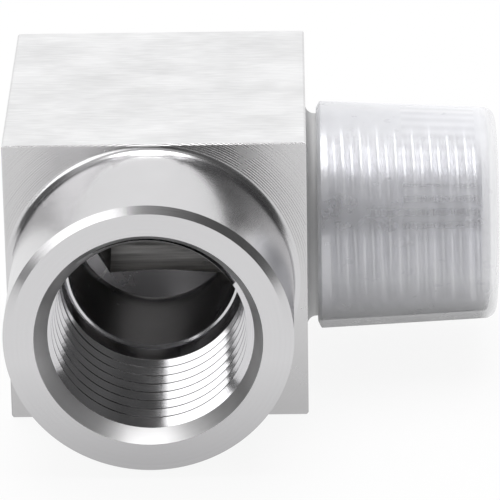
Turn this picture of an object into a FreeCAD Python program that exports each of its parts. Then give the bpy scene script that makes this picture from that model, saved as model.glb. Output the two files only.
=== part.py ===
"""A square-bodied 90 degree elbow adapter for hydraulic pipe, with a cap on its male end.

The elbow is one piece, machined from square bar. A round boss is turned on its front and
holds a tapped port. A male pipe end is turned on its right side. The two drilled bores
meet inside the block. The second piece is the soft plastic cap pushed over the male end.

Millimetres. Each body's own origin is the point where the two port axes cross. The bodies
stand at the axis height, so z = 0 is the block's flat bottom face. The male port points
along +X, the tapped port along -Y, and +Z is up.
"""
import FreeCAD, Part
import math
import os

import Sketcher

# Driving dimensions: name, value, meaning
SIZES = [
    ("axis_height", 15.15, "bottom face to the port axes"),
    ("block_height", 30.3, "bottom face to top face, across the flats"),
    ("block_left", 14.85, "tapped port axis to the left face"),
    ("block_right", 15.85, "tapped port axis to the male shoulder face"),
    ("block_front", 16.9, "male port axis to the front face"),
    ("block_back", 14.85, "male port axis to the back face"),
    ("edge_break", 0.2, "small chamfer along the block's edges"),
    ("boss_length", 14.3, "front face to the boss's face"),
    ("boss_diameter", 28.9, "turned boss"),
    ("boss_chamfer_depth", 0.75, "outer chamfer of the boss, measured across"),
    ("boss_chamfer_length", 0.42, "outer chamfer of the boss, measured along"),
    ("boss_root_flare", 0.8, "the boss flares out this far where it meets the front face"),
    ("lead_in_diameter", 22.74, "mouth of the cone that leads into the thread"),
    ("lead_in_angle", 60.0, "full angle of that cone"),
    ("tap_diameter", 18.26, "tapping drill for the 1/2-14 taper pipe thread"),
    ("tap_depth", 17.7, "boss face to the bottom of the tapped bore"),
    ("flow_diameter", 17.4, "bore beyond the thread"),
    ("step_length", 0.6, "chamfer between the tapped bore and the flow bore"),
    ("flow_stop", 3.0, "the flow bore's full diameter ends this far before the male axis"),
    ("drill_point_angle", 118.0, "full angle of the drill points"),
    ("male_length", 18.2, "shoulder face to the end of the male port"),
    ("neck_diameter", 21.34, "plain neck, as large as the 1/2 inch pipe"),
    ("neck_length", 1.5, "plain neck before the taper starts"),
    ("neck_root_flare", 1.0, "the neck flares out this far where it meets the shoulder face"),
    ("pipe_taper", 16.0, "the threaded stretch tapers 1 in this on diameter"),
    ("male_end_chamfer", 1.0, "chamfer at the start of the male thread"),
    ("male_bore_diameter", 12.0, "bore of the male port"),
    ("male_bore_chamfer", 0.3, "edge of the male bore"),
    ("male_bore_overrun", 5.0, "the male bore runs this far past the tapped port's axis"),
    ("cap_shoulder_gap", 1.15, "shoulder face to the cap's rim"),
    ("cap_rim_clearance", 0.53, "neck to the cap's inside at the rim"),
    ("cap_end_clearance", 0.14, "male end to the cap's inside"),
    ("cap_end_gap", 0.8, "male end to the cap's closed end, inside"),
    ("cap_wall", 0.8, "side wall of the cap"),
    ("cap_end_wall", 0.9, "closed end of the cap"),
    ("cap_corner_radius", 1.2, "outer rounding of the closed end"),
    ("cap_rim_bevel", 0.3, "outer bevel of the rim"),
    ("rib_start", 8.8, "rim to the start of the inner ribs"),
    ("rib_end_gap", 1.5, "closed end's inside to the end of the ribs"),
    ("rib_height", 0.12, "ribs stand this far in from the wall"),
    ("rib_width", 0.5, "width of a rib"),
    ("rib_count", 40, "inner ribs"),
]

doc = FreeCAD.newDocument("elbow_adapter")
sheet = doc.addObject("Spreadsheet::Sheet", "Sizes")
for row, (alias, value, meaning) in enumerate(SIZES, start=1):
    sheet.set(f"A{row}", alias)
    sheet.set(f"B{row}", str(value))
    sheet.set(f"C{row}", meaning)
    sheet.setAlias(f"B{row}", alias)
doc.recompute()


class Size:
    """A value and the expression that keeps it tied to the sheet."""

    def __init__(self, value, text):
        self.value = float(value)
        self.text = text

    def __add__(self, other):
        return Size(self.value + other.value, f"({self.text} + {other.text})")

    def __sub__(self, other):
        return Size(self.value - other.value, f"({self.text} - {other.text})")

    def __mul__(self, other):
        return Size(self.value * other.value, f"({self.text} * {other.text})")

    def __truediv__(self, other):
        return Size(self.value / other.value, f"({self.text} / {other.text})")

    def __neg__(self):
        return Size(-self.value, f"(-1 * {self.text})")


def size(alias):
    """The driving dimension of that name."""
    return Size(sheet.get(alias), f"Sizes.{alias}")


def tangent(angle):
    """Tangent of an angle in degrees."""
    return Size(math.tan(math.radians(angle.value)), f"tan({angle.text})")


ZERO = Size(0, "0")
TWO = Size(2, "2")


# Places that several features share
boss_radius = size("boss_diameter") / TWO
lead_in_radius = size("lead_in_diameter") / TWO
tap_radius = size("tap_diameter") / TWO
flow_radius = size("flow_diameter") / TWO
neck_radius = size("neck_diameter") / TWO
male_bore_radius = size("male_bore_diameter") / TWO
half_drill_point = tangent(size("drill_point_angle") / TWO)

front_face = -size("block_front")
boss_face = front_face - size("boss_length")
shoulder_face = size("block_right")
male_end = shoulder_face + size("male_length")
chamfer_start = male_end - size("male_end_chamfer")
tapered_length = size("male_length") - size("neck_length") - size("male_end_chamfer")
male_end_radius = neck_radius - tapered_length / (TWO * size("pipe_taper"))


def origin_feature(body, role):
    """One of the body's own origin planes or axes."""
    for feature in body.Origin.OriginFeatures:
        if feature.Role == role:
            return feature
    raise ValueError(f"{body.Label} has no {role}")


def pin(sketch, line, kind, place, name):
    """Holds one coordinate of a line's start at its distance from the sketch's origin."""
    if place is ZERO:
        axis = -2 if kind == "DistanceX" else -1
        sketch.addConstraint(Sketcher.Constraint("PointOnObject", line, 1, axis))
        return
    ends = (-1, 1, line, 1)
    if place.value < 0:
        ends = (line, 1, -1, 1)
        place = -place
    index = sketch.addConstraint(Sketcher.Constraint(kind, *ends, place.value))
    sketch.renameConstraint(index, name)
    sketch.setExpression(f"Constraints.{name}", place.text)


def outline(body, name, plane, corners):
    """A closed sketch with straight sides through the corners, each an (x, y) pair of sizes."""
    sketch = body.newObject("Sketcher::SketchObject", name)
    sketch.AttachmentSupport = (origin_feature(body, plane), [""])
    sketch.MapMode = "FlatFace"
    points = [FreeCAD.Vector(x.value, y.value, 0) for x, y in corners]
    count = len(corners)
    for i, start in enumerate(points):
        sketch.addGeometry(Part.LineSegment(start, points[(i + 1) % count]), False)
    for i in range(count):
        sketch.addConstraint(Sketcher.Constraint("Coincident", i, 2, (i + 1) % count, 1))
    for i, (x, y) in enumerate(corners):
        pin(sketch, i, "DistanceX", x, f"x_{i}")
        pin(sketch, i, "DistanceY", y, f"y_{i}")
    return sketch


def turned(body, kind, name, plane, corners):
    """Adds or cuts the outline turned once round the sketch's horizontal axis."""
    sketch = outline(body, name + "_outline", plane, corners)
    feature = body.newObject(f"PartDesign::{kind}", name)
    feature.Profile = sketch
    feature.ReferenceAxis = (sketch, ["H_Axis"])
    feature.Angle = 360
    doc.recompute()
    return feature


def cut_turned(body, name, plane, corners):
    """Cuts a turned outline and makes sure that it took material away."""
    before = body.Shape.Volume
    feature = turned(body, "Groove", name, plane, corners)
    if body.Shape.Volume > before - 1:
        raise RuntimeError(f"{name} cut nothing")
    return feature


def ring_edges(feature, centre, radius):
    """Names of the feature's full circles about a point on a port axis, with that radius."""
    names = []
    for number, edge in enumerate(feature.Shape.Edges, start=1):
        curve = edge.Curve
        if not isinstance(curve, Part.Circle):
            continue
        if curve.Center.distanceToPoint(centre) < 0.01 and abs(curve.Radius - radius) < 0.01:
            names.append(f"Edge{number}")
    if not names:
        raise RuntimeError(f"no edge of radius {radius:.2f} on {feature.Label}")
    return names


# The elbow: square bar, turned boss, male end, then the two bores
elbow = doc.addObject("PartDesign::Body", "elbow_body")
elbow.Label = "elbow_body"
elbow.setExpression("Placement.Base.z", "Sizes.axis_height")

# Square bar with its long edges broken, from the back face to the boss's face
left = -size("block_left")
right = size("block_right")
low = -size("axis_height")
high = size("block_height") - size("axis_height")
broken = size("edge_break")
bar_outline = outline(elbow, "bar_outline", "XZ_Plane", [
    (left + broken, low),
    (right - broken, low),
    (right, low + broken),
    (right, high - broken),
    (right - broken, high),
    (left + broken, high),
    (left, high - broken),
    (left, low + broken),
])
bar = elbow.newObject("PartDesign::Pad", "bar")
bar.Profile = bar_outline
bar.SideType = "Two sides"
bar.setExpression("Length", (-boss_face).text)
bar.setExpression("Length2", "Sizes.block_back")
doc.recompute()

# The back face's four edges are broken like the long ones
back_face = [
    number
    for number, face in enumerate(bar.Shape.Faces, start=1)
    if abs(face.CenterOfMass.y - size("block_back").value) < 0.001
]
back_edges = elbow.newObject("PartDesign::Chamfer", "back_edges")
back_edges.Base = (bar, [f"Face{number}" for number in back_face])
back_edges.setExpression("Size", "Sizes.edge_break")
doc.recompute()

# Everything outside the boss is turned away, down to the front face and the flared root
waste_radius = size("block_right") + size("block_height")
cut_turned(elbow, "boss_turning", "YZ_Plane", [
    (boss_face, boss_radius - size("boss_chamfer_depth")),
    (boss_face + size("boss_chamfer_length"), boss_radius),
    (front_face - size("boss_root_flare"), boss_radius),
    (front_face, boss_radius + size("boss_root_flare")),
    (front_face, waste_radius),
    (boss_face, waste_radius),
])

# Male end: flared root, plain neck, tapered stretch for the thread, chamfered tip
turned(elbow, "Revolution", "male_end", "XZ_Plane", [
    (ZERO, ZERO),
    (ZERO, neck_radius),
    (shoulder_face, neck_radius),
    (shoulder_face, neck_radius + size("neck_root_flare")),
    (shoulder_face + size("neck_root_flare"), neck_radius),
    (shoulder_face + size("neck_length"), neck_radius),
    (chamfer_start, male_end_radius),
    (male_end, male_end_radius - size("male_end_chamfer")),
    (male_end, ZERO),
])

# Tapped port: lead-in cone, tapped bore, step and flow bore with its drill point
lead_in_depth = (lead_in_radius - tap_radius) / tangent(size("lead_in_angle") / TWO)
tap_bottom = boss_face + size("tap_depth")
flow_end = -size("flow_stop")
cut_turned(elbow, "tapped_port", "YZ_Plane", [
    (boss_face, ZERO),
    (boss_face, lead_in_radius),
    (boss_face + lead_in_depth, tap_radius),
    (tap_bottom, tap_radius),
    (tap_bottom + size("step_length"), flow_radius),
    (flow_end, flow_radius),
    (flow_end + flow_radius / half_drill_point, ZERO),
])

# Male bore: broken edge, straight bore past the other axis, drill point
bore_end = -size("male_bore_overrun")
cut_turned(elbow, "male_bore", "XZ_Plane", [
    (male_end, ZERO),
    (male_end, male_bore_radius + size("male_bore_chamfer")),
    (male_end - size("male_bore_chamfer"), male_bore_radius),
    (bore_end, male_bore_radius),
    (bore_end - male_bore_radius / half_drill_point, ZERO),
])

# The cap: a slightly tapered cup with fine ribs inside, which grip the thread
cap = doc.addObject("PartDesign::Body", "thread_protector")
cap.Label = "thread_protector"
cap.setExpression("Placement.Base.z", "Sizes.axis_height")

wall = size("cap_wall")
rim = shoulder_face + size("cap_shoulder_gap")
cup_bottom = male_end + size("cap_end_gap")
cap_end = cup_bottom + size("cap_end_wall")
rim_inside = neck_radius + size("cap_rim_clearance")
bottom_inside = male_end_radius + size("cap_end_clearance")
cap_slope = (rim_inside - bottom_inside) / (cup_bottom - rim)
cap_end_radius = rim_inside + wall - cap_slope * (cap_end - rim)


def inside_radius(place):
    """Radius of the cap's inner wall at a distance along the male axis."""
    return rim_inside - cap_slope * (place - rim)


turned(cap, "Revolution", "cup", "XZ_Plane", [
    (rim, rim_inside),
    (rim, rim_inside + wall - size("cap_rim_bevel")),
    (rim + size("cap_rim_bevel"), rim_inside + wall - cap_slope * size("cap_rim_bevel")),
    (cap_end, cap_end_radius),
    (cap_end, ZERO),
    (cup_bottom, ZERO),
    (cup_bottom, bottom_inside),
])
end_centre = FreeCAD.Vector(cap_end.value, 0, 0)
end_ring = ring_edges(cap.Tip, end_centre, cap_end_radius.value)
end_rounding = cap.newObject("PartDesign::Fillet", "end_rounding")
end_rounding.Base = (cap.getObject("cup"), end_ring)
end_rounding.setExpression("Radius", "Sizes.cap_corner_radius")
doc.recompute()

# One rib, rooted in the middle of the wall, and its copies round the axis
rib_start = rim + size("rib_start")
rib_end = cup_bottom - size("rib_end_gap")
rib_height = size("rib_height")
rib_outline = outline(cap, "rib_outline", "XZ_Plane", [
    (rib_start, inside_radius(rib_start) - rib_height),
    (rib_start, inside_radius(rib_start) + wall / TWO),
    (rib_end, inside_radius(rib_end) + wall / TWO),
    (rib_end, inside_radius(rib_end) - rib_height),
])
rib = cap.newObject("PartDesign::Pad", "rib")
rib.Profile = rib_outline
rib.SideType = "Symmetric"
rib.setExpression("Length", "Sizes.rib_width")
doc.recompute()
ribs = cap.newObject("PartDesign::PolarPattern", "ribs")
ribs.Originals = [rib]
ribs.Axis = (origin_feature(cap, "X_Axis"), [""])
ribs.Angle = 360
ribs.setExpression("Occurrences", "Sizes.rib_count")
cap.Tip = ribs
doc.recompute()

# Every object has to be sound before anything is written
for item in doc.Objects:
    if "Invalid" in item.State or "Error" in item.State:
        raise RuntimeError(f"{item.Label} is {item.State}")
for body in (elbow, cap):
    shape = body.Shape
    if shape.isNull() or not shape.isValid() or len(shape.Solids) != 1:
        raise RuntimeError(f"{body.Label} is not one valid solid")
gap = elbow.Shape.distToShape(cap.Shape)[0]
print(f"cap clears the elbow by {gap:.3f} mm")
if gap < 0.05:
    raise RuntimeError("the cap touches the male end")

os.makedirs("parts", exist_ok=True)
for body in (elbow, cap):
    box = body.Shape.optimalBoundingBox()
    body.Shape.exportStep(f"parts/{body.Label}.step")
    print(f"{body.Label}: {body.Shape.Volume:.1f} mm3, box "
          f"{box.XLength:.2f} x {box.YLength:.2f} x {box.ZLength:.2f}")
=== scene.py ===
# %% [markdown]
# # A hydraulic elbow adapter under a plastic cap
#
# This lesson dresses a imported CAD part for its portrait. The real object is a square-bodied
# steel elbow. A boss with a tapped port is turned on its front, a male pipe end on its right
# side carries a taper thread, and a soft milky cap protects that thread.
#
# The steel piece could be built face by face. It is made here the way a machinist makes it:
# a bar, then one boolean cut for each tool. Every edge then falls where the real tool leaves
# it, and the piece stays one closed mesh.

import math

import bpy
from mathutils import Matrix, Vector


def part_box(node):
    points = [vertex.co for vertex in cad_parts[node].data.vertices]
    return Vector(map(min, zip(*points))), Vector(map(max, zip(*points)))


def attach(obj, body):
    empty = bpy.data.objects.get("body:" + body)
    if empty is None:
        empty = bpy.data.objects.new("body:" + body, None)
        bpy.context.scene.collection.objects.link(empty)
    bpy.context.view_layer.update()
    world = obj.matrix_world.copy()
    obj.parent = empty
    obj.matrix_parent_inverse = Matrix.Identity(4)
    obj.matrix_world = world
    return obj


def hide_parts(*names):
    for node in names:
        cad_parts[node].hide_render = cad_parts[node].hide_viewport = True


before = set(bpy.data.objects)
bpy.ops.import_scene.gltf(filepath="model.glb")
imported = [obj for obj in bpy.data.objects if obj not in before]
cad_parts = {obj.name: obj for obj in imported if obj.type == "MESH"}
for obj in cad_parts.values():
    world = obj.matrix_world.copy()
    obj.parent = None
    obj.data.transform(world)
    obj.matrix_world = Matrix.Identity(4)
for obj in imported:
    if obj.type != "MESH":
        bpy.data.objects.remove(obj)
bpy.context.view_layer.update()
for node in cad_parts:
    low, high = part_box(node)
    print(node, "from", [round(v * 1000, 2) for v in low], "to", [round(v * 1000, 2) for v in high])

# %% [markdown]
# ## Working like a lathe hand
#
# Nearly every surface of this fitting is turned, bored or threaded round one of two axes. So
# each tool is shaped upright on the world's origin, round Z, as if it stood in a chuck. Then
# it is laid along its port. Places along an axis are measured in millimetres from the point
# where both axes cross, out of the port.

# %% Units, axes and the two ports
MM = 0.001
AXIS_HEIGHT = 15.15
CROSSING = Vector((0, 0, AXIS_HEIGHT)) * MM
LAY = {
    "tapped": Matrix.Translation(CROSSING) @ Matrix.Rotation(math.radians(90), 4, "X"),
    "male": Matrix.Translation(CROSSING) @ Matrix.Rotation(math.radians(90), 4, "Y"),
}


def alone(piece):
    """Leaves only this piece selected and active."""
    if bpy.context.mode != "OBJECT":
        bpy.ops.object.mode_set(mode="OBJECT")
    bpy.ops.object.select_all(action="DESELECT")
    piece.select_set(True)
    bpy.context.view_layer.objects.active = piece


def lay_along(piece, port):
    """Lays an upright piece along its port, and puts that place into its mesh."""
    alone(piece)
    piece.matrix_world = LAY[port]
    bpy.ops.object.transform_apply(location=True, rotation=True, scale=True)


def closed_up(piece, gap=0.0005):
    """Merges doubled points and turns every face outwards."""
    alone(piece)
    bpy.ops.object.mode_set(mode="EDIT")
    bpy.ops.mesh.select_all(action="SELECT")
    bpy.ops.mesh.remove_doubles(threshold=gap * MM)
    bpy.ops.mesh.normals_make_consistent(inside=False)
    bpy.ops.object.mode_set(mode="OBJECT")


# %% [markdown]
# ## Turning a shape
#
# A turned shape could come from a Screw modifier on a drawn profile, or from a spin. Here a
# ring of points is extruded along the axis and scaled at each station, which is how the
# outline of a vase is drawn by hand. One helper then serves every boss, bore and chamfer. A
# ring whose last station is its first becomes a closed tube with no end faces.

# %% A ring extruded from station to station
def turned(name, port, stations, ring=False, facets=192):
    """A turned piece along a port. A station is its place along the axis and its radius."""
    place, radius = stations[0]
    bpy.ops.object.select_all(action="DESELECT")
    bpy.ops.mesh.primitive_circle_add(vertices=facets, radius=radius * MM, location=(0, 0, place * MM),
                                      fill_type="NOTHING" if ring else "NGON")
    piece = bpy.context.object
    piece.name = name
    bpy.ops.object.transform_apply(location=True)
    bpy.ops.object.mode_set(mode="EDIT")
    for next_place, next_radius in stations[1:]:
        step = (0, 0, (next_place - place) * MM)
        bpy.ops.mesh.extrude_region_move(TRANSFORM_OT_translate={"value": step})
        scale = next_radius / radius
        bpy.ops.transform.resize(value=(scale, scale, 1), center_override=(0, 0, next_place * MM))
        place, radius = next_place, next_radius
    closed_up(piece)
    lay_along(piece, port)
    return piece


def arc(place, radius, bend, start, stop, count=10):
    """Stations along an arc about (place, radius), from start to stop degrees."""
    angles = [math.radians(start + (stop - start) * i / count) for i in range(count + 1)]
    return [(place + bend * math.cos(a), radius + bend * math.sin(a)) for a in angles]


def combine(piece, tool, operation):
    """Joins the tool to the piece or cuts it away, then removes the tool."""
    alone(piece)
    modifier = piece.modifiers.new(tool.name, "BOOLEAN")
    modifier.operation = operation
    modifier.solver = "EXACT"
    modifier.object = tool
    bpy.ops.object.modifier_apply(modifier=modifier.name)
    print(tool.name, operation.lower(), "leaves", len(piece.data.polygons), "faces")
    bpy.data.objects.remove(tool)


# %% [markdown]
# ## The bar
#
# The fitting starts as a short length of square bar. A cube of the bar's size is a start
# only: its four long edges and its back edges get the small chamfer that a file leaves, and
# its front end will become the face of the boss.

# %% Square bar with broken edges
BLOCK_LEFT, BLOCK_RIGHT, BLOCK_HEIGHT = 14.85, 15.85, 30.3
FRONT_FACE, BOSS_FACE, BACK_FACE = 16.9, 31.2, 14.85
BROKEN_EDGE = 0.2

bpy.ops.object.select_all(action="DESELECT")
bpy.ops.mesh.primitive_cube_add(
    size=1,
    location=Vector(((BLOCK_RIGHT - BLOCK_LEFT) / 2, (BACK_FACE - BOSS_FACE) / 2, BLOCK_HEIGHT / 2)) * MM,
    scale=Vector((BLOCK_LEFT + BLOCK_RIGHT, BACK_FACE + BOSS_FACE, BLOCK_HEIGHT)) * MM,
)
elbow = bpy.context.object
elbow.name = "elbow"
bpy.ops.object.transform_apply(location=True, rotation=True, scale=True)
for edge in elbow.data.edges:
    ends = [elbow.data.vertices[i].co.y for i in edge.vertices]
    edge.select = max(ends) > 0
bpy.ops.object.mode_set(mode="EDIT")
bpy.ops.mesh.select_mode(type="EDGE")
bpy.ops.mesh.bevel(offset=BROKEN_EDGE * MM, segments=1, affect="EDGES")
bpy.ops.mesh.select_mode(type="VERT")
bpy.ops.object.mode_set(mode="OBJECT")
print("bar", [round(v * 1000, 2) for v in elbow.dimensions], "mm")

# %% [markdown]
# ## Turning the boss
#
# The lathe removes everything outside the boss, down to the front face, and its rounded tool
# leaves a fillet there. The waste is a thick ring with that outline as its bore. Cutting the
# ring away gives the boss, the fillet and the front face in one stroke. The fillet is wider
# than the bar, so it runs off the top and the left side, just as in the photograph.

# %% Cut the turning waste away
BOSS_RADIUS = 14.45
CHAMFER_IN, CHAMFER_ALONG = 0.75, 0.46
TOOL_NOSE = 0.85
BEYOND_METAL = 40
start = (BOSS_FACE + 1, BOSS_RADIUS - CHAMFER_IN - CHAMFER_IN / CHAMFER_ALONG)
waste = turned("turning_waste", "tapped", [
    start,
    (BOSS_FACE, BOSS_RADIUS - CHAMFER_IN),
    (BOSS_FACE - CHAMFER_ALONG, BOSS_RADIUS),
    *arc(FRONT_FACE + TOOL_NOSE, BOSS_RADIUS + TOOL_NOSE, TOOL_NOSE, -90, -180),
    (FRONT_FACE, BEYOND_METAL),
    (BOSS_FACE + 1, BEYOND_METAL),
    start,
], ring=True)
combine(elbow, waste, "DIFFERENCE")

# %% [markdown]
# The facing cut leaves sharp edges round the front face. A file takes 0.12 mm off the top edge
# and off both side edges. A square bar turned 45 degrees lies along each edge as the file.

# %% File the edges of the front face
FILED = 0.12
FILE_WIDTH, FILE_LENGTH = 3.0, 40
# Where each edge lies in x and z, and which way it faces.
EDGES = {
    "file_top": ((0.5, BLOCK_HEIGHT), (0, -1, 1)),
    "file_left": ((-BLOCK_LEFT, AXIS_HEIGHT), (-1, -1, 0)),
    "file_right": ((BLOCK_RIGHT, AXIS_HEIGHT), (1, -1, 0)),
}
for name, ((x, z), outwards) in EDGES.items():
    bpy.ops.object.select_all(action="DESELECT")
    bpy.ops.mesh.primitive_cube_add(size=1)
    tool = bpy.context.object
    tool.name = name
    tool.scale = [(FILE_WIDTH if side else FILE_LENGTH) * MM for side in outwards]
    tool.rotation_euler = [0 if side else math.radians(45) for side in outwards]
    edge = Vector((x, -FRONT_FACE, z)) * MM
    reach = FILE_WIDTH / 2 - FILED / math.sqrt(2)
    tool.location = edge + Vector(outwards).normalized() * reach * MM
    bpy.ops.object.transform_apply(location=True, rotation=True, scale=True)
    combine(elbow, tool, "DIFFERENCE")

# %% [markdown]
# ## The male end
#
# The pipe end on the right has a fillet at the shoulder, a plain neck as thick as the pipe,
# and a stretch that tapers 1 in 16 on diameter under the thread's crests. A chamfer leads
# the thread in. It is a turned piece joined to the bar, because bar and pipe end are one
# piece of steel.

# %% Join the male blank
SHOULDER, MALE_END, NECK_RADIUS = 15.85, 34.05, 10.67
NECK_END = SHOULDER + 1.5
FILLET = END_CHAMFER = 1
TAPER = 1 / 32
TIP_RADIUS = NECK_RADIUS - (MALE_END - END_CHAMFER - NECK_END) * TAPER
blank = turned("male_blank", "male", [
    (SHOULDER - 3.85, NECK_RADIUS - 0.5),
    (SHOULDER - 0.4, NECK_RADIUS + FILLET),
    *arc(SHOULDER + FILLET, NECK_RADIUS + FILLET, FILLET, -180, -90),
    (NECK_END, NECK_RADIUS),
    (MALE_END - END_CHAMFER, TIP_RADIUS),
    (MALE_END, TIP_RADIUS - END_CHAMFER),
])
combine(elbow, blank, "UNION")

# %% [markdown]
# ## Drilling
#
# The tapped port is a lead-in cone, the tapping drill's hole, a small step and a longer flow
# bore that ends in the drill's point. The male port has a bore of its own that runs past the
# other axis. Each drill is a turned solid that starts outside the metal, so that no face of
# it lies on a face of the bar.

# %% Drill both ports
FLOW_RADIUS, MALE_BORE, LEAD_RADIUS = 8.7, 6.0, 11.37
LEAD_SLOPE = math.tan(math.radians(35))
CREST = 9.885
LEAD_DEPTH = (LEAD_RADIUS - CREST) / (LEAD_SLOPE - TAPER)
THREAD_DEPTH, STEP_DEPTH = 15.75, 17.66
POINT = math.tan(math.radians(59))
DRILL_TIP = 0.001
POINT_RADIUS = FLOW_RADIUS - 0.15
drill = turned("tapped_port_drill", "tapped", [
    (BOSS_FACE + 1, LEAD_RADIUS + LEAD_SLOPE),
    (BOSS_FACE - LEAD_DEPTH, CREST - LEAD_DEPTH * TAPER),
    (BOSS_FACE - THREAD_DEPTH, CREST - THREAD_DEPTH * TAPER),
    (BOSS_FACE - STEP_DEPTH, FLOW_RADIUS + 0.32),
    (BOSS_FACE - STEP_DEPTH - 0.08, FLOW_RADIUS + 0.08),
    (BOSS_FACE - STEP_DEPTH - 0.18, FLOW_RADIUS),
    (2.3, FLOW_RADIUS),
    (1.9, POINT_RADIUS),
    (1.9 - POINT_RADIUS / POINT, DRILL_TIP),
])
combine(elbow, drill, "DIFFERENCE")
drill = turned("male_port_drill", "male", [
    (MALE_END + 1, MALE_BORE + 1.3),
    (MALE_END - 0.3, MALE_BORE),
    (-5, MALE_BORE),
    (-5 - MALE_BORE / POINT, DRILL_TIP),
])
combine(elbow, drill, "DIFFERENCE")

# %% [markdown]
# ## Taper pipe threads
#
# Both ports carry the 1/2-14 taper pipe thread: a 60 degree V every 1.814 mm, on a cone that
# tapers 1 in 16. A bump pattern could fake it, but the flanks catch the light one by one, and
# the run-out at each end would be missing. So the thread is cut. A small V-shaped section is
# swept along a helix by the Screw modifier, each point of it is then moved out or in by the
# taper and the run-out, and the swept cutter is taken away from the bore or the pipe end.

# %% A V-shaped cutter swept along a helix
PITCH = 1.814
FLAT = 0.24
FLANK = math.tan(math.radians(30))
STEPS_A_TURN = 120


def thread_cutter(name, port, first, turns, root, towards, lift):
    """Sweeps the V along the port from the place first, with its root at the radius root.

    towards is 1 for a cutter whose point faces outwards, and -1 for one that faces inwards.
    lift(place, middle) is what the radius changes by, in millimetres, at a place along the port,
    where the middle of the groove lies at middle.
    """
    depth = 0.98 * (PITCH - FLAT) / 2 / FLANK
    bpy.ops.object.select_all(action="DESELECT")
    bpy.ops.mesh.primitive_plane_add(size=1, rotation=(math.radians(90), 0, 0))
    cutter = bpy.context.object
    cutter.name = name
    bpy.ops.object.transform_apply(rotation=True)
    for point in cutter.data.vertices:
        tip = point.co.x > 0
        side = 1 if point.co.z > 0 else -1
        half_width = FLAT / 2 if tip else FLAT / 2 + depth * FLANK
        radius = root if tip else root - towards * depth
        point.co = Vector((radius, 0, first + side * half_width)) * MM
    bpy.ops.object.mode_set(mode="EDIT")
    bpy.ops.mesh.select_all(action="SELECT")
    bpy.ops.mesh.delete(type="ONLY_FACE")
    bpy.ops.object.mode_set(mode="OBJECT")
    sweep = cutter.modifiers.new("sweep", "SCREW")
    sweep.axis = "Z"
    sweep.angle = math.radians(360)
    sweep.screw_offset = PITCH * MM
    sweep.iterations = turns
    sweep.steps = sweep.render_steps = STEPS_A_TURN
    sweep.use_smooth_shade = False
    bpy.ops.object.modifier_apply(modifier="sweep")
    for point in cutter.data.vertices:
        radius = math.hypot(point.co.x, point.co.y)
        place = point.co.z / MM
        part_turn = math.atan2(point.co.y, point.co.x) / math.radians(360)
        middle = first + (round((place - first) / PITCH - part_turn) + part_turn) * PITCH
        scale = 1 + lift(place, middle) * MM / radius
        point.co.x *= scale
        point.co.y *= scale
    bpy.ops.object.mode_set(mode="EDIT")
    bpy.ops.mesh.select_mode(type="VERT")
    bpy.ops.mesh.select_all(action="DESELECT")
    bpy.ops.mesh.select_non_manifold()
    bpy.ops.mesh.edge_face_add()
    bpy.ops.object.mode_set(mode="OBJECT")
    closed_up(cutter)
    lay_along(cutter, port)
    return cutter


# %% [markdown]
# The tapered nose of the tap stopped 15 mm inside the port, so the groove fades there within a
# quarter of a turn, and it opens a little at the mouth, where the tap went in. The die fades
# more slowly, over most of a turn, before it reaches the neck.

# %% Cut both threads
TAPPED_ROOT = 11.08
MALE_ROOT = NECK_RADIUS - 1.22


def tap_lift(place, middle):
    """The tapped thread narrows inwards, opens at the mouth and closes at the end of the tap."""
    mouth = 1.7 - (BOSS_FACE - place)
    run_out = BOSS_FACE - middle - 14.9
    return -(BOSS_FACE - place) * TAPER - 0.6 * max(0, mouth) - 3 * max(0, run_out)


def die_lift(place, middle):
    """The male thread narrows outwards, and runs out of the metal at the neck."""
    run_out = NECK_END + 1.7 - middle
    return -(place - NECK_END) * TAPER + 0.85 * max(0, run_out)


tap = thread_cutter("tap", "tapped", BOSS_FACE - 2.03 - 8.75 * PITCH, 10, TAPPED_ROOT, 1, tap_lift)
combine(elbow, tap, "DIFFERENCE")
die = thread_cutter("die", "male", SHOULDER + 1.9, 10, MALE_ROOT, -1, die_lift)
combine(elbow, die, "DIFFERENCE")
closed_up(elbow)

# %% [markdown]
# ## Shading the elbow
#
# Round surfaces are shaded smooth and real edges stay sharp. Where a fillet runs out into a
# large flat face, smooth shading would bend the flat face's reflections too. So the outline of
# every large flat face is marked sharp, and only the fillet is smooth.

# %% Check the mesh and shade it
FLAT_AREA = 15
alone(elbow)
bpy.ops.object.mode_set(mode="EDIT")
bpy.ops.mesh.select_mode(type="VERT")
bpy.ops.mesh.select_all(action="DESELECT")
bpy.ops.mesh.select_non_manifold()
bpy.ops.object.mode_set(mode="OBJECT")
print("open or doubled points:", sum(v.select for v in elbow.data.vertices), "of", len(elbow.data.vertices))
bpy.ops.object.shade_smooth_by_angle(angle=math.radians(28))
flats = [face for face in elbow.data.polygons if face.area > FLAT_AREA * MM ** 2]
for face in flats:
    for corner in face.loop_indices:
        elbow.data.edges[elbow.data.loops[corner].edge_index].use_edge_sharp = True
print("large flat faces:", len(flats), "box", [round(v * 1000, 3) for v in elbow.dimensions])

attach(elbow, "elbow")
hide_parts("elbow_body")

# %% [markdown]
# ## Tools for the materials
#
# Bare steel has one colour. What tells the finishes apart is the direction and the pitch of the
# tool marks, so the materials are built round those. Painted textures could hold the marks, but
# marks worked out from the place on the piece stay sharp at any zoom. Grooves finer than a pixel
# spread each reflection across the marks, as brushed and turned metal does. The finishes below
# still get different colours, and that difference is painted light and shade.

# %% Node helpers
def add(tree, kind, inputs=(), **settings):
    """Adds a shader node. An input is either a plain value or the socket that feeds it."""
    made = tree.nodes.new("ShaderNode" + kind)
    for name, value in settings.items():
        setattr(made, name, value)
    for name, value in dict(inputs).items():
        if isinstance(value, bpy.types.NodeSocket):
            tree.links.new(value, made.inputs[name])
        else:
            made.inputs[name].default_value = value
    return made


def maths(tree, operation, one, two=0.0, **settings):
    """A sum, product or other step on two values."""
    return add(tree, "Math", {0: one, 1: two}, operation=operation, **settings).outputs[0]


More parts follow.
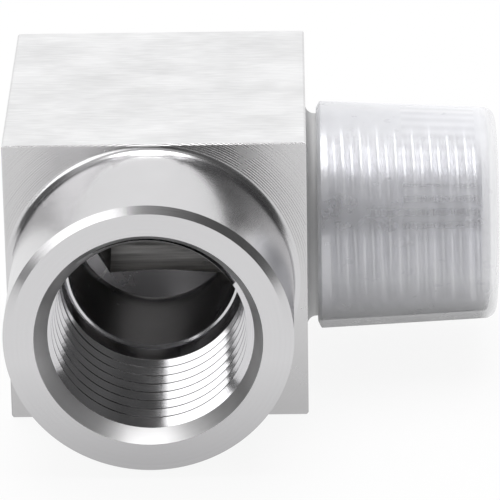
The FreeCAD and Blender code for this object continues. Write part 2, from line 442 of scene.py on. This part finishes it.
def spread(tree, value, low, high, start=0.0, stop=1.0, kind="LINEAR"):
    """Maps a value that runs from start to stop onto low to high."""
    limits = {"From Min": start, "From Max": stop, "To Min": low, "To Max": high}
    return add(tree, "MapRange", {"Value": value, **limits}, interpolation_type=kind).outputs["Result"]


def position(tree):
    """The place of a point on the piece, in millimetres: as a vector, then x, y and z."""
    place = add(tree, "TexCoord").outputs["Object"]
    place = add(tree, "VectorMath", {0: place, "Scale": 1000.0}, operation="SCALE").outputs[0]
    return place, *add(tree, "SeparateXYZ", {0: place}).outputs


def times(tree, vector, factors):
    """The vector multiplied part by part, or by one value."""
    if isinstance(factors, tuple):
        return add(tree, "VectorMath", {0: vector, 1: factors}, operation="MULTIPLY").outputs[0]
    return add(tree, "VectorMath", {0: vector, "Scale": factors}, operation="SCALE").outputs[0]


def noise(tree, vector, scale, detail):
    """Noise from 0 to 1 at a place."""
    return add(tree, "TexNoise", {"Vector": vector, "Scale": scale, "Detail": detail}).outputs["Fac"]


def turning(tree, port):
    """A distance in millimetres that grows along any profile turned round the port's axis."""
    place, x, y, z = position(tree)
    height = maths(tree, "SUBTRACT", z, AXIS_HEIGHT)
    across, along = (x, y) if port == "tapped" else (y, x)
    flat = add(tree, "CombineXYZ", {0: across, 1: height}).outputs[0]
    radius = add(tree, "VectorMath", {0: flat}, operation="LENGTH").outputs["Value"]
    return place, maths(tree, "ADD", radius, along)


def lines(tree, distance, period, detail=2.0):
    """Uneven lines across a distance, with the given period in millimetres."""
    return add(tree, "TexNoise", {"W": distance, "Scale": 1 / period, "Detail": detail},
               noise_dimensions="1D").outputs["Fac"]


def steel(name, colour, roughness, marks, height, cloud=0.05, low=1.0):
    """A steel finish. marks(tree) gives a place and the pattern the tool left, from 0 to 1.

    cloud is how far the colour varies, and low is what is left of it at the foot of the piece, a painted
    shade that darkens the steel towards the bottom.
    """
    material = bpy.data.materials.new(name)
    material.use_nodes = True
    tree = material.node_tree
    shader = tree.nodes["Principled BSDF"]
    shader.inputs["Metallic"].default_value = 1
    place, pattern = marks(tree)
    patches = noise(tree, place, 0.35, 4.0)
    shade = spread(tree, maths(tree, "ADD", patches, pattern), 1 - cloud, 1 + cloud, 0.6, 1.4)
    # Painted shade: the colour fades to low towards the foot of the piece.
    shade = maths(tree, "MULTIPLY", shade, spread(tree, position(tree)[3], low, 1.0, 1, 13))
    tree.links.new(times(tree, colour, shade), shader.inputs["Base Color"])
    gloss = spread(tree, patches, roughness - 0.03, roughness + 0.03, 0.3, 0.7)
    tree.links.new(gloss, shader.inputs["Roughness"])
    bump = add(tree, "Bump", {"Height": pattern, "Distance": height * MM})
    tree.links.new(bump.outputs["Normal"], shader.inputs["Normal"])
    print(name, "colour", colour, "roughness", roughness, "marks", height, "mm high")
    return material


# %% [markdown]
# ## The marks of each tool
#
# The outside of the bar is brushed along its length. The facing cut left even arcs 0.23 mm
# apart, and they are plainest beside the boss in the upper right corner. The boss, the port and
# the pipe end carry finer, uneven turning lines, and painted shade darkens the roots of the male
# thread. Chips were dragged along the dark bore of the male port, and a ragged burr is left on
# the right edge of the front face.

# %% Patterns of tool marks
def sawn(tree):
    """Brushed lines along the bar."""
    place = position(tree)[0]
    return times(tree, place, (0.5, 0.8, 0.8)), noise(tree, times(tree, place, (0.4, 3.0, 3.0)), 1.0, 3.0)


def faced(tree):
    """Feed marks of a facing cut, strongest beside the boss in the upper right corner."""
    place, distance = turning(tree, "tapped")
    x, z = position(tree)[1::2]
    wave = maths(tree, "SINE", maths(tree, "MULTIPLY", distance, math.radians(360) / 0.23))
    strong = maths(tree, "MULTIPLY", spread(tree, z, 0.1, 1.0, 14, 26), spread(tree, x, 0.3, 1.0, -8, 10))
    strong = maths(tree, "MULTIPLY", strong, spread(tree, distance, 0.7, 0.05, -1.5, 1.8))
    return place, maths(tree, "ADD", maths(tree, "MULTIPLY", wave, strong), lines(tree, distance, 0.15))


def dragged(tree):
    """Rub marks along the bore of the male port."""
    place = position(tree)[0]
    return times(tree, place, (0.3, 2.0, 2.0)), noise(tree, times(tree, place, (0.15, 2.5, 2.5)), 1.0, 2.0)


def burred(tree):
    """The ragged burr along an edge."""
    place = position(tree)[0]
    return place, spread(tree, noise(tree, place, 1.6, 3.0), 0.0, 1.0, 0.44, 0.56)


def threaded_with_painted_roots(tree):
    """Turning lines round the male end, with painted shade in the thread's roots."""
    place, distance = turning(tree, "male")
    x = position(tree)[1]
    crest = maths(tree, "SUBTRACT", NECK_RADIUS + NECK_END * TAPER, maths(tree, "MULTIPLY", x, TAPER))
    deep = maths(tree, "SUBTRACT", crest, maths(tree, "SUBTRACT", distance, x))
    # Painted shade: the colour is darkened in the roots of the thread.
    return place, maths(tree, "ADD", lines(tree, distance, 0.2), spread(tree, deep, 0.0, -0.4, 0.7, 1.1))


def turned_marks(port, period):
    """Turning lines round a port's axis."""
    def marks(tree):
        place, distance = turning(tree, port)
        return place, lines(tree, distance, period)
    return marks


# %% [markdown]
# ## The finishes of the steel
#
# Each face of the elbow is sorted by where it lies and gets the finish of the tool that cut it.
# Splitting the piece into one object per finish would be simpler, but it would break up one
# piece of steel, so the faces share one mesh with several materials.

# %% The finishes of the elbow
# Painted light and shade: the colours differ from finish to finish, darker in the bores and lighter on the
# lead-in cone and the male thread.
FINISHES = {
    "sawn": steel("sawn_steel", (0.74, 0.74, 0.745), 0.34, sawn, 0.016, 0.11),
    "faced": steel("faced_steel", (0.62, 0.615, 0.62), 0.26, faced, 0.008, 0.04, 0.8),
    "burred": steel("burred_steel", (0.36, 0.355, 0.36), 0.4, burred, 0.03, 0.6),
    "turned": steel("turned_steel", (0.64, 0.635, 0.645), 0.24, turned_marks("tapped", 0.25), 0.0015,
                    0.02, 0.68),
    "lead_in": steel("lead_in_steel", (0.84, 0.835, 0.84), 0.42, turned_marks("tapped", 0.2), 0.0015),
    "cut": steel("cut_thread_steel", (0.64, 0.635, 0.65), 0.14, turned_marks("tapped", 0.2), 0.004),
    "drilled": steel("drilled_steel", (0.40, 0.395, 0.40), 0.25, turned_marks("tapped", 0.3), 0.003),
    "dragged": steel("dragged_steel", (0.58, 0.575, 0.57), 0.3, dragged, 0.03, 0.5),
    "male": steel("male_thread_steel", (0.96, 0.96, 0.985), 0.27, threaded_with_painted_roots, 0.003, 0.25),
    "neck": steel("neck_steel", (0.66, 0.66, 0.66), 0.8, turned_marks("male", 0.2), 0.003),
}
elbow.data.materials.clear()
for finish in FINISHES.values():
    elbow.data.materials.append(finish)
order = list(FINISHES)
NEAR = 0.01


def finish_of(centre, normal):
    """The tool that left this face of the elbow."""
    x, y, z = centre / MM
    radius = math.hypot(x, z - AXIS_HEIGHT)
    if abs(math.hypot(y, z - AXIS_HEIGHT) - MALE_BORE) < 2 * NEAR:
        return "dragged"
    if x > BLOCK_RIGHT + NEAR:
        return "male" if x > NECK_END - 0.1 else "neck"
    if y < -FRONT_FACE - NEAR:
        if radius > LEAD_RADIUS + NEAR or y < NEAR - BOSS_FACE:
            return "turned"
        if abs(radius - LEAD_RADIUS + LEAD_SLOPE * (BOSS_FACE + y)) < 2 * NEAR:
            return "lead_in"
        return "cut" if y < STEP_DEPTH - NEAR - BOSS_FACE else "drilled"
    inwards = normal.x * x + normal.z * (z - AXIS_HEIGHT) < 0
    if radius < LEAD_RADIUS and inwards and y < STEP_DEPTH + 0.06 - BOSS_FACE:
        return "cut"
    if abs(y + FRONT_FACE) < 2 * NEAR:
        return "faced"
    if x > BLOCK_RIGHT - FILED and y < FILED - FRONT_FACE:
        return "burred"
    rim = BROKEN_EDGE + NEAR
    outside = (x < NEAR - BLOCK_LEFT or x > BLOCK_RIGHT - rim or y > BACK_FACE - rim
               or z < rim or z > BLOCK_HEIGHT - rim)
    return "sawn" if outside else "drilled"


count = dict.fromkeys(order, 0)
for face in elbow.data.polygons:
    finish = finish_of(face.center, face.normal)
    face.material_index = order.index(finish)
    count[finish] += 1
print("faces of each finish:", count)

# %% [markdown]
# ## The cap
#
# The cap is a moulded cup of soft milky plastic with a slanted rim, a rounded closed end and
# fine ribs inside that grip the thread. A plain tube with a bump for ribs would look alike from
# far away, but the ribs show through the wall, so they are shaped. The cup is turned like the
# rest, with eight facets to each rib, and two of every eight are then drawn in.

# %% Turn the cap
RIBS = 50
RIB_DEPTH, RIB_START, RIB_END, RIB_FADE = 0.09, 25.9, 33.3, 0.1
WALL = 0.8
RIM, CUP_BOTTOM, CAP_END = 17.0, 34.85, 35.75
RIM_INSIDE, BOTTOM_INSIDE = 11.2, 10.319
SLOPE = (RIM_INSIDE - BOTTOM_INSIDE) / (CUP_BOTTOM - RIM)


def inside(place):
    """Radius of the cap's inner wall."""
    return RIM_INSIDE - SLOPE * (place - RIM)


CORNER, HOLLOW = 1.2, 0.4
corner_radius = inside(CAP_END - CORNER) + WALL - CORNER
inner_wall = [RIB_END + RIB_FADE, RIB_END, RIB_START, RIB_START - RIB_FADE, RIM + 0.05]
cap = turned("cap", "male", [
    (CUP_BOTTOM, BOTTOM_INSIDE - HOLLOW),
    *arc(CUP_BOTTOM - HOLLOW, inside(CUP_BOTTOM - HOLLOW) - HOLLOW, HOLLOW, 20, 90, 5),
    *((place, inside(place)) for place in inner_wall),
    (RIM, RIM_INSIDE + 0.06),
    (RIM + 0.32, RIM_INSIDE + WALL - 0.1),
    (RIM + 0.42, inside(RIM + 0.42) + WALL),
    *arc(CAP_END - CORNER, corner_radius, CORNER, 90 - 2, 0, 10),
], facets=8 * RIBS)
ribbed = 0
for point in cap.data.vertices:
    place = point.co.x / MM
    height, width = point.co.z / MM - AXIS_HEIGHT, point.co.y / MM
    radius = math.hypot(height, width)
    on_end = min(abs(place - RIB_START), abs(place - RIB_END)) < NEAR
    on_wall = abs(radius - inside(place)) < 2 * NEAR
    facet = round(math.atan2(width, height) / math.tau * 8 * RIBS)
    if on_end and on_wall and facet % 8 in (2, 3):
        scale = 1 - RIB_DEPTH / radius
        point.co.y *= scale
        point.co.z = (AXIS_HEIGHT + height * scale) * MM
        ribbed += 1
print("points drawn in for ribs:", ribbed)
bpy.ops.object.shade_smooth_by_angle(angle=math.radians(40))
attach(cap, "cap")
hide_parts("thread_protector")

# %% [markdown]
# Milky plastic scatters light inside the wall. A volume would do that truly, but it is slow and
# doesn't export. Here the wall is part clear and part pale skin, and the skin gets stronger
# towards the outline, where the eye looks through more plastic. Soft clouds and small moulding
# marks break up the skin. Painted shade darkens it strongly underneath and a little along the
# top. The ribs are thicker plastic, and where the light is strong the skin gets paler and darker
# stripes along them, which are painted light and shade.

# %% Milky plastic
milky = bpy.data.materials.new("milky_plastic")
milky.use_nodes = True
tree = milky.node_tree
shader = tree.nodes["Principled BSDF"]
place, x, y, z = position(tree)
clouds = noise(tree, place, 0.5, 3.0)
# Painted shade: the skin is darkened towards the bottom, and a little along the top.
lit = maths(tree, "MULTIPLY", spread(tree, z, 0.05, 1.0, 5.0, 12.5), spread(tree, z, 1.0, 0.8, 26.2, 26.9))
lit = maths(tree, "MULTIPLY", lit, spread(tree, clouds, 0.97, 1.03, 0.3, 0.7))
# Painted light and shade: stripes along the ribs, only where the light is strong.
turn = maths(tree, "ARCTAN2", y, maths(tree, "SUBTRACT", z, AXIS_HEIGHT))
wave = maths(tree, "COSINE", maths(tree, "SUBTRACT", maths(tree, "MULTIPLY", turn, RIBS), 2.5 / 8 * math.tau))
ribbed_part = maths(tree, "MULTIPLY", maths(tree, "GREATER_THAN", x, RIB_START - RIB_FADE),
                    maths(tree, "LESS_THAN", x, RIB_END + RIB_FADE))
strong_light = spread(tree, z, 0.0, 1.0, 16.0, 20.0)
wave = maths(tree, "MULTIPLY", wave, maths(tree, "MULTIPLY", ribbed_part, strong_light))
lit = maths(tree, "MULTIPLY", lit, spread(tree, wave, 0.92, 1.08, -1.0, 1.0))
tree.links.new(times(tree, (0.94, 0.945, 0.975), lit), shader.inputs["Base Color"])
tree.links.new(spread(tree, clouds, 0.26, 0.38, 0.3, 0.7), shader.inputs["Roughness"])
shader.inputs["Specular IOR Level"].default_value = 0.9
moulding = noise(tree, times(tree, place, (2.5, 0.5, 0.5)), 1.0, 1.0)
bump = add(tree, "Bump", {"Height": moulding, "Distance": 0.006 * MM})
tree.links.new(bump.outputs["Normal"], shader.inputs["Normal"])
through = add(tree, "BsdfTransparent", {"Color": (0.97, 0.97, 0.975, 1)})
facing = add(tree, "LayerWeight", {"Blend": 0.3}).outputs["Facing"]
closed_end = spread(tree, x, 0.0, 1.0, 34.0, 35.0)
haze = add(tree, "Mix", {"Factor": closed_end, "A": spread(tree, facing, 0.25, 0.8),
                         "B": spread(tree, facing, 0.42, 0.0)}).outputs["Result"]
blend = add(tree, "MixShader", {"Fac": haze, 1: through.outputs[0], 2: shader.outputs[0]})
tree.links.new(blend.outputs[0], tree.nodes["Material Output"].inputs["Surface"])
cap.data.materials.clear()
cap.data.materials.append(milky)
print("milky_plastic has", len(tree.nodes), "nodes")

# %% [markdown]
# ## Floor
#
# The photograph is cut out on pure white. A plain pale floor stands in for it and keeps a faint
# shadow. For the camera, for reflections and for light through the cap it is mostly its own
# white, so metal and plastic show that same background. It casts no extra light on the piece.

# %% White floor
bpy.ops.object.select_all(action="DESELECT")
bpy.ops.mesh.primitive_plane_add(size=6, location=(0, 0, 0))
floor = bpy.context.object
floor.name = "floor"
paint = bpy.data.materials.new("floor_paint")
paint.use_nodes = True
tree = paint.node_tree
shader = tree.nodes["Principled BSDF"]
shader.inputs["Base Color"].default_value = (0.85, 0.85, 0.85, 1)
shader.inputs["Roughness"].default_value = 0.9
shader.inputs["Specular IOR Level"].default_value = 0.0
glow = add(tree, "Emission", {"Strength": 1.0})
rays = add(tree, "LightPath").outputs
seen = maths(tree, "ADD", maths(tree, "ADD", rays["Is Camera Ray"], rays["Is Glossy Ray"]),
             rays["Is Transmission Ray"])
share = maths(tree, "MULTIPLY", seen, 0.9, use_clamp=True)
blend = add(tree, "MixShader", {"Fac": share, 1: shader.outputs[0], 2: glow.outputs[0]})
tree.links.new(blend.outputs[0], tree.nodes["Material Output"].inputs["Surface"])
floor.data.materials.append(paint)
print("floor", [round(v, 2) for v in floor.dimensions], "m")

# %% [markdown]
# ## Light
#
# Polished steel shows its surroundings, so the light was read back from the photograph: which
# way each face looks, and how bright it is. The room is dark in front and to the right, pale
# behind and overhead. A large softbox hangs above, and a second one stands at the front left.
# The room is a gradient in the world, and the two softboxes are area lamps.

# %% The room as a gradient
world = bpy.data.worlds.new("studio")
bpy.context.scene.world = world
world.use_nodes = True
tree = world.node_tree
direction = add(tree, "TexCoord").outputs["Generated"]
east, north, high = add(tree, "SeparateXYZ", {0: direction}).outputs
behind = spread(tree, north, 0.07, 1.0, 0.0, 0.8, "SMOOTHSTEP")
left_side = spread(tree, east, 1.0, 0.1, 0.25, 0.45, "SMOOTHSTEP")
ceiling = spread(tree, high, 0.0, 0.45, 0.6, 0.7, "SMOOTHSTEP")
front_right = maths(tree, "MULTIPLY", spread(tree, east, 0.0, 1.0, 0.2, 0.4),
                    spread(tree, north, 0.06, 0.0, -0.9, -0.6))
above = maths(tree, "MULTIPLY", left_side, ceiling)
room = maths(tree, "ADD", maths(tree, "ADD", behind, front_right), above)
tree.links.new(room, tree.nodes["Background"].inputs["Color"])

# %% Two softboxes
def softbox(name, place, aim, width, height, radiance):
    """A soft area lamp at a place in metres, aimed at a point, as bright as its radiance."""
    lamp = bpy.data.lights.new(name, "AREA")
    lamp.shape = "RECTANGLE"
    lamp.size, lamp.size_y = width, height
    lamp.energy = radiance * math.pi * width * height
    holder = bpy.data.objects.new(name, lamp)
    bpy.context.scene.collection.objects.link(holder)
    holder.location = place
    holder.rotation_euler = (Vector(place) - Vector(aim)).to_track_quat("Z", "Y").to_euler()
    holder.visible_camera = False
    print(name, round(lamp.energy, 2), "W")


softbox("key_softbox", (-0.494, -0.76, 0.43), CROSSING, 0.60, 0.68, 2.0)
softbox("overhead_softbox", (-0.02, 0.17, 1.0), (-0.02, 0.17, 0), 0.76, 0.84, 3.6)

# %% [markdown]
# ## Camera
#
# The photograph was taken from in front, 24 degrees above the table, with a long lens. The
# values come from a fit of the block's corners and the port's circles to the photograph. A
# hand-placed camera would be near, but then no edge would lie on its edge in the photograph.

# %% Camera
azimuth, elevation, roll = math.radians(0.622), math.radians(23.851), math.radians(-0.911)
TO_THE_RIGHT, UPWARDS, DISTANCE = 9.70, 10.29, 454.9
back = Vector((math.sin(azimuth) * math.cos(elevation), -math.cos(azimuth) * math.cos(elevation),
               math.sin(elevation)))
right = Vector((math.cos(azimuth), math.sin(azimuth), 0))
up = back.cross(right)
level = math.cos(roll) * right + math.sin(roll) * up
upright = -math.sin(roll) * right + math.cos(roll) * up
place = (TO_THE_RIGHT * level + UPWARDS * upright + DISTANCE * back) * MM
lens = bpy.data.cameras.new("camera")
lens.sensor_width = 36
lens.lens = 306
lens.clip_start = 0.01
camera = bpy.data.objects.new("camera", lens)
bpy.context.scene.collection.objects.link(camera)
camera.matrix_world = Matrix.Translation(place) @ Matrix((level, upright, back)).transposed().to_4x4()
bpy.context.scene.camera = camera
print("camera at", [round(v, 4) for v in place])

# %% [markdown]
# ## View
#
# Plain colour is written as it is rendered, with no film look.

# %% View transform
bpy.context.scene.view_settings.view_transform = "Standard"
